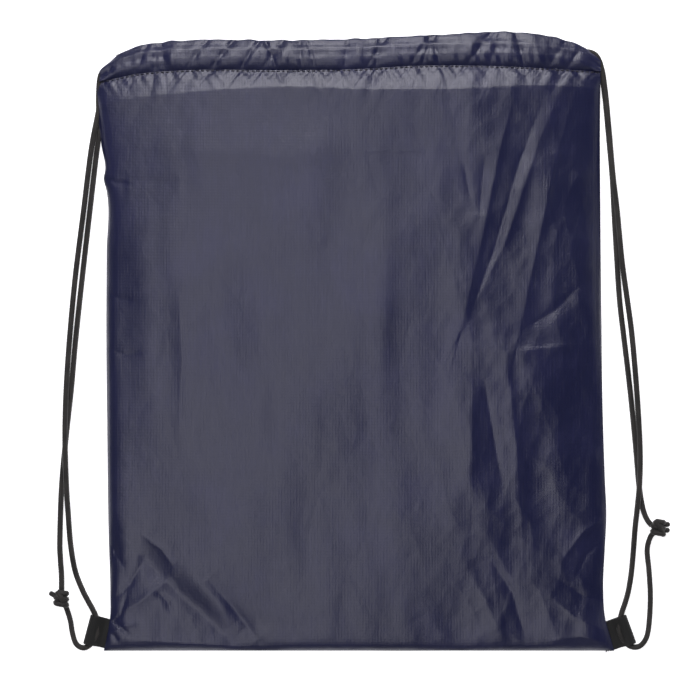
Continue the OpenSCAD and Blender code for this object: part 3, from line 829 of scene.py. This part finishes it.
def node_maker(name):
    """New material with its node tree, its shader and a helper that adds nodes."""
    material = bpy.data.materials.new(name)
    material.use_nodes = True
    tree = material.node_tree
    shader = tree.nodes["Principled BSDF"]

    def add(kind, **values):
        node = tree.nodes.new(kind)
        for key, value in values.items():
            if key in node.inputs:
                node.inputs[key].default_value = value
            else:
                setattr(node, key, value)
        return node

    return material, tree, shader, add


def preset(node, values):
    """Sets inputs of a node by name."""
    for key, value in values.items():
        node.inputs[key].default_value = value


def bumped(tree, shader, add, heights):
    """Chains bumps, given as (height socket, distance in metres, strength)."""
    before = None
    for socket, distance, strength in heights:
        bump = add("ShaderNodeBump", Distance=distance, Strength=strength)
        tree.links.new(socket, bump.inputs["Height"])
        if before:
            tree.links.new(before.outputs["Normal"], bump.inputs["Normal"])
        before = bump
    tree.links.new(before.outputs["Normal"], shader.inputs["Normal"])


def coloured(tree, shader, add, socket, stops):
    """Colours the surface by a ramp on a socket, given as (position, colour) stops."""
    node = add("ShaderNodeValToRGB")
    tree.links.new(socket, node.inputs["Fac"])
    elements = node.color_ramp.elements
    while len(elements) < len(stops):
        elements.new(0.5)
    for element, (position, colour) in zip(elements, stops):
        element.position = position
        element.color = (*colour, 1)
    tree.links.new(node.outputs["Color"], shader.inputs["Base Color"])


def cloth_material():
    """Thin woven polyester: dark navy, satin gloss, fine vertical yarns, a weave and small crumples."""
    dark, middle, light = (0.0056, 0.0074, 0.0370), (0.0078, 0.0098, 0.0450), (0.0120, 0.0136, 0.0560)
    weave_scale = 310
    material, tree, shader, add = node_maker("satin_polyester")
    link_up = tree.links.new
    place = add("ShaderNodeTexCoord").outputs["Object"]
    stretch = add("ShaderNodeMapping", vector_type="POINT", Scale=(1, 0.06, 1))
    link_up(place, stretch.inputs["Vector"])
    yarn = add("ShaderNodeTexNoise", Scale=900, Detail=3, Roughness=0.6)
    link_up(stretch.outputs["Vector"], yarn.inputs["Vector"])
    mottle = add("ShaderNodeTexNoise", Scale=26, Detail=4, Roughness=0.55)
    link_up(place, mottle.inputs["Vector"])
    mix = add("ShaderNodeMath", operation="MULTIPLY_ADD")
    mix.inputs[1].default_value = 0.6
    link_up(yarn.outputs["Fac"], mix.inputs[0])
    link_up(mottle.outputs["Fac"], mix.inputs[2])
    coloured(tree, shader, add, mix.outputs["Value"], [(0.45, dark), (0.8, middle), (1.15, light)])
    gloss = add("ShaderNodeMapRange")
    preset(gloss, {"To Min": 0.29, "To Max": 0.38})
    link_up(mottle.outputs["Fac"], gloss.inputs["Value"])
    link_up(gloss.outputs["Result"], shader.inputs["Roughness"])
    crumple = add("ShaderNodeTexNoise", Scale=60, Detail=5, Roughness=0.5)
    link_up(place, crumple.inputs["Vector"])
    weave = add("ShaderNodeMath", operation="MULTIPLY")
    for socket, direction in enumerate("YX"):
        yarns = add("ShaderNodeTexWave", wave_type="BANDS", bands_direction=direction, Scale=weave_scale,
                    Distortion=0.6)
        link_up(place, yarns.inputs["Vector"])
        link_up(yarns.outputs["Fac"], weave.inputs[socket])
    wander = add("ShaderNodeTexNoise", Scale=22, Detail=2)
    link_up(place, wander.inputs["Vector"])
    bent = add("ShaderNodeVectorMath", operation="MULTIPLY_ADD")
    bent.inputs[1].default_value = (0.03, 0.03, 0)
    link_up(wander.outputs["Color"], bent.inputs[0])
    link_up(place, bent.inputs[2])
    long_cells = add("ShaderNodeMapping", vector_type="POINT", Scale=(1, 0.55, 0), Rotation=(0, 0, -0.3))
    link_up(bent.outputs["Vector"], long_cells.inputs["Vector"])
    folds = add("ShaderNodeTexVoronoi", feature="DISTANCE_TO_EDGE", Scale=38)
    link_up(long_cells.outputs["Vector"], folds.inputs["Vector"])
    bumped(tree, shader, add, [
        (folds.outputs["Distance"], 0.0012, 0.4),
        (crumple.outputs["Fac"], 0.0012, 0.35),
        (yarn.outputs["Fac"], 0.0003, 0.25),
        (weave.outputs["Value"], 0.00012, 0.5),
    ])
    preset(shader, {
        "Specular IOR Level": 0.6,
        "Sheen Weight": 0.04,
        "Sheen Roughness": 0.4,
        "Sheen Tint": (0.75, 0.72, 0.95, 1),
    })
    return material


def fibre_material(name, dark, light, roughness, scale, bump):
    """Yarn of a cord, a webbing or a thread: two close tones, fibres and a dull surface."""
    material, tree, shader, add = node_maker(name)
    link_up = tree.links.new
    place = add("ShaderNodeTexCoord").outputs["Object"]
    fibres = add("ShaderNodeTexNoise", Scale=scale, Detail=4, Roughness=0.65)
    patches = add("ShaderNodeTexNoise", Scale=scale / 14, Detail=2, Roughness=0.5)
    link_up(place, fibres.inputs["Vector"])
    link_up(place, patches.inputs["Vector"])
    blend = add("ShaderNodeMath", operation="MULTIPLY_ADD")
    blend.inputs[1].default_value = 0.6
    link_up(fibres.outputs["Fac"], blend.inputs[0])
    link_up(patches.outputs["Fac"], blend.inputs[2])
    coloured(tree, shader, add, blend.outputs["Value"], [(0.5, dark), (1.05, light)])
    spread = add("ShaderNodeMapRange")
    preset(spread, {"To Min": roughness - 0.08, "To Max": roughness + 0.08})
    link_up(fibres.outputs["Fac"], spread.inputs["Value"])
    link_up(spread.outputs["Result"], shader.inputs["Roughness"])
    bumped(tree, shader, add, [(fibres.outputs["Fac"], bump, 0.5)])
    preset(shader, {"Sheen Weight": 0.15})
    return material


def floor_material():
    """Matt white that also glows a little, so that the floor comes out as even white."""
    material, tree, shader, add = node_maker("pale_floor")
    grain = add("ShaderNodeTexNoise", Scale=40, Detail=2)
    tree.links.new(add("ShaderNodeTexCoord").outputs["Object"], grain.inputs["Vector"])
    stops = [(0.3, (0.90, 0.90, 0.90)), (0.7, (0.93, 0.93, 0.93))]
    coloured(tree, shader, add, grain.outputs["Fac"], stops)
    preset(shader, {"Roughness": 0.9, "Emission Color": (1, 1, 1, 1), "Emission Strength": 0.75})
    return material


def area_light(name, place, target, size, power, colour=(1, 1, 1)):
    """Soft rectangular light that faces its target."""
    data = bpy.data.lights.new(name, "AREA")
    data.shape = "RECTANGLE"
    data.size, data.size_y = size
    data.energy = power
    data.color = colour
    light = link(name, data)
    light.location = place
    toward = np.array(target, float) - np.array(place, float)
    light.rotation_euler = Vector(toward).to_track_quat("-Z", "Y").to_euler()


def studio():
    """Pale floor, a long light above the left half, one beyond the mouth, a weak one at the right, and a room
    that is bright low down and dark overhead."""
    me = bpy.data.meshes.new("floor")
    half = 6.0
    corners = [(-half, -half, 0), (half, -half, 0), (half, half, 0), (-half, half, 0)]
    me.from_pydata(corners, [], [(0, 1, 2, 3)])
    floor = link("floor", me)
    floor.data.materials.append(floor_material())
    floor.location.z = -0.0002
    cool_white = (1, 0.98, 1.03)
    area_light("overhead", (-0.31, -0.45, 1.7), (-0.31, -0.45, 0), size=(0.9, 1.9), power=12,
               colour=cool_white)
    area_light("key", (-0.05, 0.85, 1.0), (0, 0.15, 0), size=(0.8, 0.5), power=11, colour=cool_white)
    area_light("fill", (2.4, 0.4, 0.9), (0, 0, 0), size=(1.0, 0.6), power=2.5)
    world = bpy.data.worlds.new("room")
    bpy.context.scene.world = world
    world.use_nodes = True
    tree = world.node_tree
    direction = tree.nodes.new("ShaderNodeTexCoord")
    split = tree.nodes.new("ShaderNodeSeparateXYZ")
    shade = tree.nodes.new("ShaderNodeValToRGB")
    tree.links.new(direction.outputs["Generated"], split.inputs["Vector"])
    tree.links.new(split.outputs["Z"], shade.inputs["Fac"])
    tree.links.new(shade.outputs["Color"], tree.nodes["Background"].inputs["Color"])
    shade.color_ramp.elements[0].color = (1, 1, 1, 1)
    shade.color_ramp.elements[1].color = (0, 0, 0, 1)
    shade.color_ramp.elements[1].position = 0.9
    tree.nodes["Background"].inputs["Strength"].default_value = 0.36
    bpy.context.scene.view_settings.view_transform = "Standard"


def camera():
    """Long lens straight above the bag, its mouth at the top of the picture."""
    data = bpy.data.cameras.new("camera")
    data.lens = 100
    data.sensor_width = 36
    view_width = 0.476
    outline_height = 0.004
    cam = link("camera", data)
    cam.location = (-0.0066, -0.0048, outline_height + view_width * data.lens / data.sensor_width)
    cam.rotation_euler = (0, 0, 0)
    bpy.context.scene.camera = cam


camera()
cord = fibre_material("braided_cord", dark=(0.0024, 0.0020, 0.0017), light=(0.026, 0.023, 0.020),
                      roughness=0.72, scale=1400, bump=0.00012)
strands = {
    ("left", "upper", "front"): (LEFT_UPPER, LEFT_FRONT_EXIT),
    ("left", "lower", "back"): (LEFT_LOWER, LEFT_BACK_EXIT),
    ("right", "upper", "front"): (RIGHT_UPPER, RIGHT_FRONT_EXIT),
    ("right", "lower", "back"): (RIGHT_LOWER, RIGHT_BACK_EXIT),
}
for side, centre in KNOTS.items():
    knot_cord(side, centre)
for side, ends in CUT_ENDS.items():
    cut_ends(side, ends)
for (side, role, _), (route, _) in strands.items():
    free_strand(side, role, route)
for (side, _, hem), (route, exit_route) in strands.items():
    held_cord(f"{side}_{hem}_exit_cord", exit_route + route[:1], f"{side}_cord_{hem}_exit")
for side, outward in (("left", 1), ("right", -1)):
    held_cord(f"{side}_bight_cord", bight_points(f"{side}_cord_bight", outward), f"{side}_cord_bight")
channel_runs()

webbing = fibre_material("ribbed_webbing", dark=(0.0012, 0.0013, 0.0011), light=(0.0055, 0.0057, 0.0050),
                         roughness=0.78, scale=1100, bump=0.00012)
thread = fibre_material("navy_thread", dark=(0.006, 0.006, 0.018), light=(0.016, 0.016, 0.034),
                        roughness=0.55, scale=1600, bump=0.00008)
cloth = cloth_material()
front_cloth()
side_seams()
back_cloth()
front_hem()
back_hem()
seam_stitching()
for side, (place, tilt) in TABS.items():
    bar_tacks(side, *webbing_tab(side, place, tilt))
studio()
